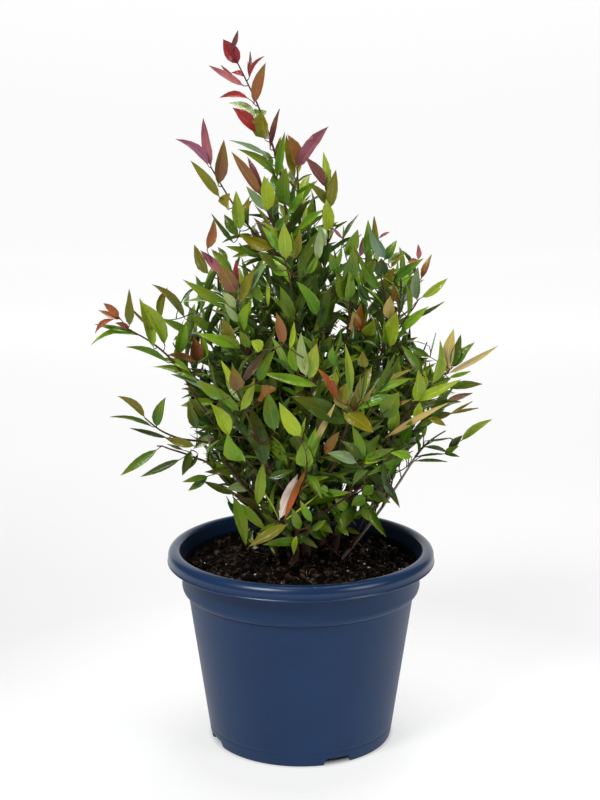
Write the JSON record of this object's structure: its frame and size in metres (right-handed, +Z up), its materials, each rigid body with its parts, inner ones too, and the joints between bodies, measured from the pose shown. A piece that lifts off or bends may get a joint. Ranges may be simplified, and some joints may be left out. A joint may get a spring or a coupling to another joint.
{
  "type": "potted red lip syzygium",
  "caption": "Bushy evergreen shrub with narrow leaves and red young shoots on several stems, standing in a round tapered navy nursery pot filled with soil.",
  "frame": {"origin": "middle of the pot's flat underside, on the ground", "axes": "+Z up along the pot's axis and the plant, -Y to the front as pictured, +X to the right"},
  "size_m": [0.4147, 0.3869, 0.7329],
  "materials": {
    "pot_plastic": "navy moulded plastic, satin, with a fine skin texture",
    "soil": "dark moist potting mix with white perlite and fine fibres",
    "bark": "thin brown bark, reddish on young wood",
    "grey_bark": "grey weathered bark",
    "foliage_green": "glossy evergreen leaf, paler and duller below",
    "foliage_lime": "satin young leaf, yellow green",
    "foliage_olive": "satin leaf, olive with a brown flush",
    "foliage_bronze": "satin young leaf, bronze brown",
    "foliage_orange": "satin young leaf, orange flush",
    "foliage_red": "glossy new leaf, lip red to pink"
  },
  "bodies": {
    "root": {"pot": "pot_plastic", "soil": "soil", "leader_stem": "bark", "left_stem": "bark", "right_stem": "bark", "front_stem": "bark", "grey_stem": "grey_bark", "back_left_stem": "bark", "back_right_stem": "bark", "upper_front_bough": "bark", "upper_left_bough": "bark", "upper_back_bough": "bark", "high_right_bough": "bark", "left_outer_bough": "bark", "left_low_bough": "bark", "front_left_bough": "bark", "front_right_bough": "bark", "right_high_bough": "bark", "right_edge_bough": "bark", "right_outer_bough": "bark", "right_low_bough": "bark", "back_left_bough": "bark", "back_right_bough": "bark", "leader_foliage": "foliage_red", "top_left_foliage": "foliage_red", "top_middle_foliage": "foliage_bronze", "top_right_foliage": "foliage_bronze", "right_shoulder_foliage": "foliage_green", "upper_front_foliage": "foliage_green", "left_shoulder_foliage": "foliage_bronze", "upper_back_foliage": "foliage_green", "high_right_foliage": "foliage_green", "left_high_foliage": "foliage_green", "left_outer_foliage": "foliage_lime", "left_middle_foliage": "foliage_green", "left_low_foliage": "foliage_olive", "left_bottom_foliage": "foliage_green", "front_high_foliage": "foliage_green", "front_left_foliage": "foliage_lime", "front_right_foliage": "foliage_olive", "front_low_foliage": "foliage_green", "front_bottom_left_foliage": "foliage_lime", "front_bottom_right_foliage": "foliage_green", "base_left_foliage": "foliage_green", "base_front_foliage": "foliage_lime", "base_right_foliage": "foliage_green", "right_upper_foliage": "foliage_green", "right_high_foliage": "foliage_green", "right_edge_foliage": "foliage_lime", "right_outer_foliage": "foliage_orange", "right_low_foliage": "foliage_green", "right_bottom_foliage": "foliage_lime", "right_inner_foliage": "foliage_green", "back_left_upper_foliage": "foliage_green", "back_left_outer_foliage": "foliage_green", "back_left_low_foliage": "foliage_olive", "back_right_upper_foliage": "foliage_green", "back_right_outer_foliage": "foliage_green", "back_right_low_foliage": "foliage_lime", "back_middle_foliage": "foliage_green"}
  },
  "joints": []
}
